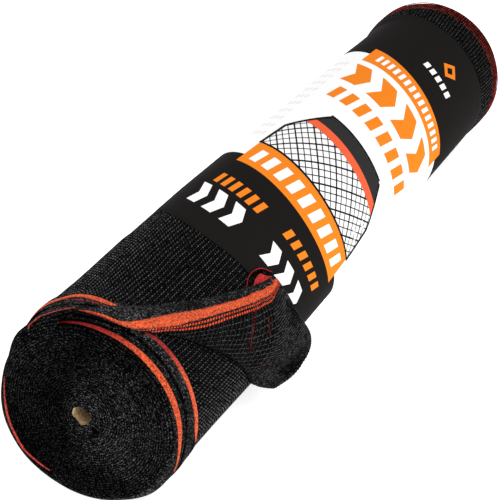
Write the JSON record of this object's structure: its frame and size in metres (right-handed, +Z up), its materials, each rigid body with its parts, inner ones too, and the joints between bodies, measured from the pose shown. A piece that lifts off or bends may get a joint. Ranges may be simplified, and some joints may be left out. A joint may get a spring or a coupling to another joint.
{
  "type": "roll of safety debris netting",
  "caption": "Roll of knitted black debris netting on a card core, lying on its side, with a printed wrap and a turned-back loose end.",
  "frame": {"origin": "on the floor, under the middle of the whole part; the roll's axis is 15.6 mm from it towards -X", "axes": "+Y along the roll's axis, from the end with the turned-back corner to the other end; +Z up; +X towards the side where the loose end lies"},
  "size_m": [0.2917, 1.305, 0.261],
  "materials": {
    "net": "black knitted polyethylene yarn with woven orange edge stripes",
    "core": "plain kraft card tube",
    "label": "satin printed paper wrap in white, black and orange"
  },
  "bodies": {
    "root": {"net_roll": "net", "loose_end": "net", "core_tube": "core", "label_wrap": "label"}
  },
  "joints": []
}
